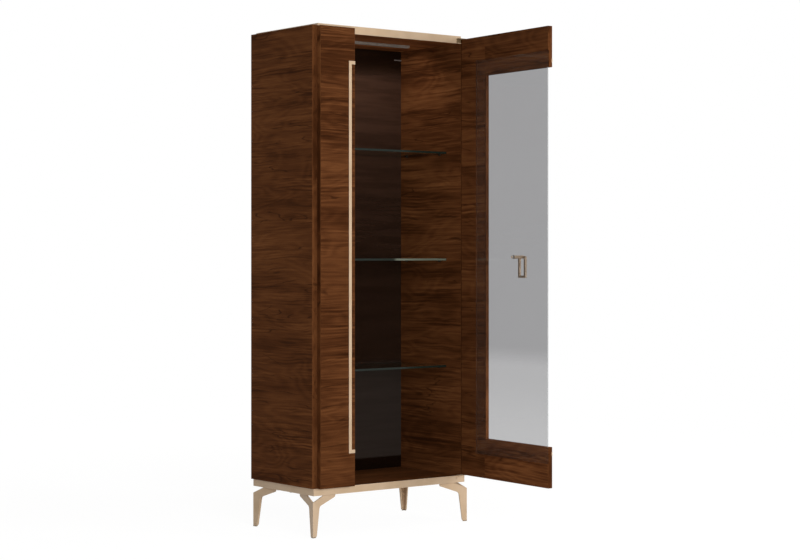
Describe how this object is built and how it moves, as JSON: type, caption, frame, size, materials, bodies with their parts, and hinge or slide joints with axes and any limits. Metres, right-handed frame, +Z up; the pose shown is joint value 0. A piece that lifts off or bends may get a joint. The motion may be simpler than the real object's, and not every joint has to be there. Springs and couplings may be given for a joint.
{
  "type": "display cabinet",
  "caption": "Tall walnut display cabinet on folded brass-finished plate legs, with a fixed front panel, a smoked-glass door on pivots, clear glass shelves and a lamp bar.",
  "frame": {"origin": "on the floor under the middle of the carcase", "axes": "+Z up, front of the cabinet towards -Y, hinge side of the door towards +X"},
  "size_m": [0.7759, 0.9928, 1.978],
  "materials": {
    "walnut": "satin veneer, grain level",
    "dark_lacquer": "dark gloss lacquer",
    "satin_brass": "pale satin brass plate",
    "black_plastic": "matt black",
    "clear_glass": "polished",
    "smoked_glass": "grey tinted, polished",
    "steel": "satin",
    "aluminium": "satin anodised",
    "opal": "translucent opal",
    "beech": "raw"
  },
  "bodies": {
    "carcase": {"left_side_panel": "walnut", "right_side_panel": "walnut", "top_panel": "walnut", "floor_panel": "walnut", "back_panel": "dark_lacquer", "top_cap": "satin_brass", "base_rail_front": "satin_brass", "base_rail_back": "satin_brass", "base_rail_left": "satin_brass", "base_rail_right": "satin_brass", "leg_front_left": "satin_brass", "leg_front_right": "satin_brass", "leg_back_right": "satin_brass", "leg_back_left": "satin_brass", "foot_glides": "black_plastic", "shelf_bottom": "clear_glass", "shelf_middle": "clear_glass", "shelf_top": "clear_glass", "shelf_pegs": "steel", "lamp_channel": "aluminium", "lamp_diffuser": "opal", "corner_plates": "steel", "fixed_panel": "walnut", "fixed_panel_trim": "satin_brass", "fixed_panel_batten": "walnut", "top_tongues": "beech", "base_screws": "steel", "pivot_bracket_top": "satin_brass", "pivot_bracket_bottom": "satin_brass"},
    "door": {"door_stile": "walnut", "door_top_rail": "walnut", "door_bottom_rail": "walnut", "door_tongues": "beech", "door_trim": "satin_brass", "door_glass": "smoked_glass", "pivot_bush_top": "black_plastic", "pivot_bush_bottom": "black_plastic", "pull_post": "satin_brass", "pull_screw": "satin_brass", "pull_washers": "opal"},
    "loop": {"pull_loop": "satin_brass"}
  },
  "joints": [
    {"name": "door_hinge", "type": "hinge", "parent": "carcase", "child": "door", "pos_m": [0.363, -0.224, 0.188], "axis": [0, 0, 1], "range_deg": [-86.5, 23.5]},
    {"name": "pull_swing", "type": "hinge", "parent": "door", "child": "loop", "pos_m": [0.38459, -0.55894, 1.078], "axis": [-0.061, -0.9981, 0], "range_deg": [-25, 205]}
  ]
}
